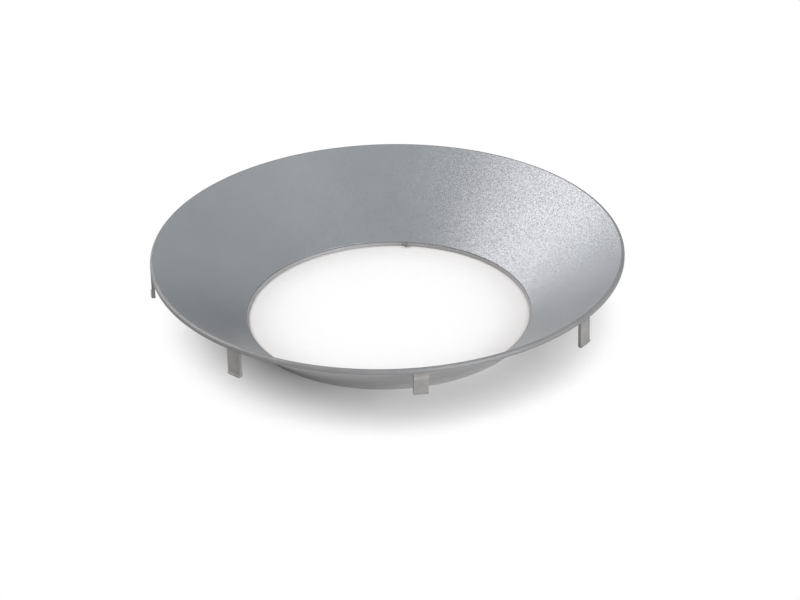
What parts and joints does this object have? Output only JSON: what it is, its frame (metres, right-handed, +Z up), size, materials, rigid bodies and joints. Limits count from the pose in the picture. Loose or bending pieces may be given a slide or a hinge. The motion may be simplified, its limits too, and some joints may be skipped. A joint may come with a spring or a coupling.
{
  "type": "lamp reflector ring",
  "caption": "Shallow conical reflector ring for an outdoor lamp, with a rim band and flexing snap hooks hanging from its wide end.",
  "frame": {"origin": "centre of the base face, the flat underside of the collar at the small end", "axes": "+Z up the ring's axis from the small end to the wide end; +X and +Y each through a snap hook; the locating lug hangs at -Y"},
  "size_m": [0.2012, 0.2012, 0.032],
  "materials": {
    "satin_reflector": "fine-grained satin silver metallic coating",
    "rim_silver": "smooth satin silver metallic coating",
    "hook_grey": "plain silver-grey moulded surface"
  },
  "bodies": {
    "ring": {"reflector_cone": "satin_reflector", "rim_band": "rim_silver", "base_collar": "satin_reflector", "locating_pip": "rim_silver"},
    "hook_0": {"snap_hook_0": "hook_grey"},
    "hook_1": {"snap_hook_1": "hook_grey"},
    "hook_2": {"snap_hook_2": "hook_grey"},
    "hook_3": {"snap_hook_3": "hook_grey"},
    "hook_4": {"snap_hook_4": "hook_grey"},
    "hook_5": {"snap_hook_5": "hook_grey"},
    "lug": {"locating_lug": "hook_grey"},
    "hook_7": {"snap_hook_7": "hook_grey"}
  },
  "joints": [
    {"name": "hook_0_flex", "type": "hinge", "parent": "ring", "child": "hook_0", "pos_m": [0.0986, 0, 0.0299], "axis": [0, 1, 0], "range_deg": [0, 6], "stiffness_Nm_per_rad": 0.8},
    {"name": "hook_1_flex", "type": "hinge", "parent": "ring", "child": "hook_1", "pos_m": [0.06972, 0.06972, 0.0299], "axis": [-0.7071, 0.7071, 0], "range_deg": [0, 6], "stiffness_Nm_per_rad": 0.8},
    {"name": "hook_2_flex", "type": "hinge", "parent": "ring", "child": "hook_2", "pos_m": [0, 0.0986, 0.0299], "axis": [-1, 0, 0], "range_deg": [0, 6], "stiffness_Nm_per_rad": 0.8},
    {"name": "hook_3_flex", "type": "hinge", "parent": "ring", "child": "hook_3", "pos_m": [-0.06972, 0.06972, 0.0299], "axis": [-0.7071, -0.7071, 0], "range_deg": [0, 6], "stiffness_Nm_per_rad": 0.8},
    {"name": "hook_4_flex", "type": "hinge", "parent": "ring", "child": "hook_4", "pos_m": [-0.0986, 0, 0.0299], "axis": [0, -1, 0], "range_deg": [0, 6], "stiffness_Nm_per_rad": 0.8},
    {"name": "hook_5_flex", "type": "hinge", "parent": "ring", "child": "hook_5", "pos_m": [-0.06972, -0.06972, 0.0299], "axis": [0.7071, -0.7071, 0], "range_deg": [0, 6], "stiffness_Nm_per_rad": 0.8},
    {"name": "lug_flex", "type": "hinge", "parent": "ring", "child": "lug", "pos_m": [0, -0.0986, 0.0299], "axis": [1, 0, 0], "range_deg": [0, 6], "stiffness_Nm_per_rad": 0.8},
    {"name": "hook_7_flex", "type": "hinge", "parent": "ring", "child": "hook_7", "pos_m": [0.06972, -0.06972, 0.0299], "axis": [0.7071, 0.7071, 0], "range_deg": [0, 6], "stiffness_Nm_per_rad": 0.8}
  ]
}
